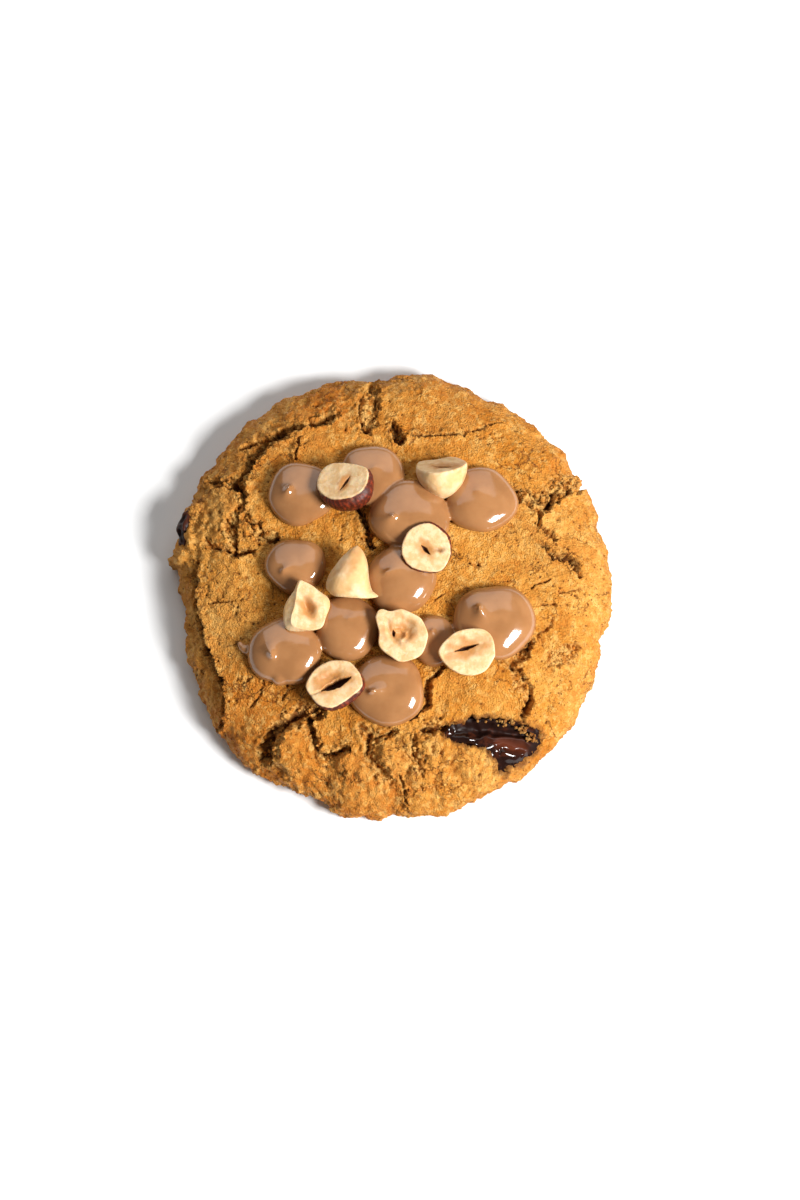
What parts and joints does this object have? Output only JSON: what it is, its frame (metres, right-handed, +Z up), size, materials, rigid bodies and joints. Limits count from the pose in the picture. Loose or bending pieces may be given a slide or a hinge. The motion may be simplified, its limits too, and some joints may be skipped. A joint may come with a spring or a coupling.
{
  "type": "hazelnut cookie",
  "caption": "Thick round drop cookie with a cracked crust, topped with drops of hazelnut cream, pieces of hazelnut and dark chocolate.",
  "frame": {"origin": "middle of the flat baked base, on the surface that the cookie lies on", "axes": "+Z up through the crust, +X to the right and -Y to the front as the cookie is seen in the picture"},
  "size_m": [0.1098, 0.1136, 0.0279],
  "materials": {
    "crust": "matte, grainy golden-brown crust with paler crumb in the cracks",
    "hazelnut_cream": "glossy milk-chocolate brown cream",
    "hazelnut": "satin cream-coloured kernel, with red-brown skin on some pieces",
    "dark_chocolate": "glossy melted dark chocolate"
  },
  "bodies": {
    "root": {"cookie": "crust", "chocolate_chunk_front": "dark_chocolate", "chocolate_chunk_side": "dark_chocolate", "hazelnut_1": "hazelnut", "hazelnut_2": "hazelnut", "hazelnut_3": "hazelnut", "hazelnut_4": "hazelnut", "hazelnut_5": "hazelnut", "hazelnut_6": "hazelnut", "hazelnut_7": "hazelnut", "hazelnut_8": "hazelnut", "cream_drop_1": "hazelnut_cream", "cream_drop_2": "hazelnut_cream", "cream_drop_3": "hazelnut_cream", "cream_drop_4": "hazelnut_cream", "cream_drop_5": "hazelnut_cream", "cream_drop_6": "hazelnut_cream", "cream_drop_7": "hazelnut_cream", "cream_drop_8": "hazelnut_cream", "cream_drop_9": "hazelnut_cream", "cream_drop_10": "hazelnut_cream", "cream_drop_11": "hazelnut_cream"}
  },
  "joints": []
}
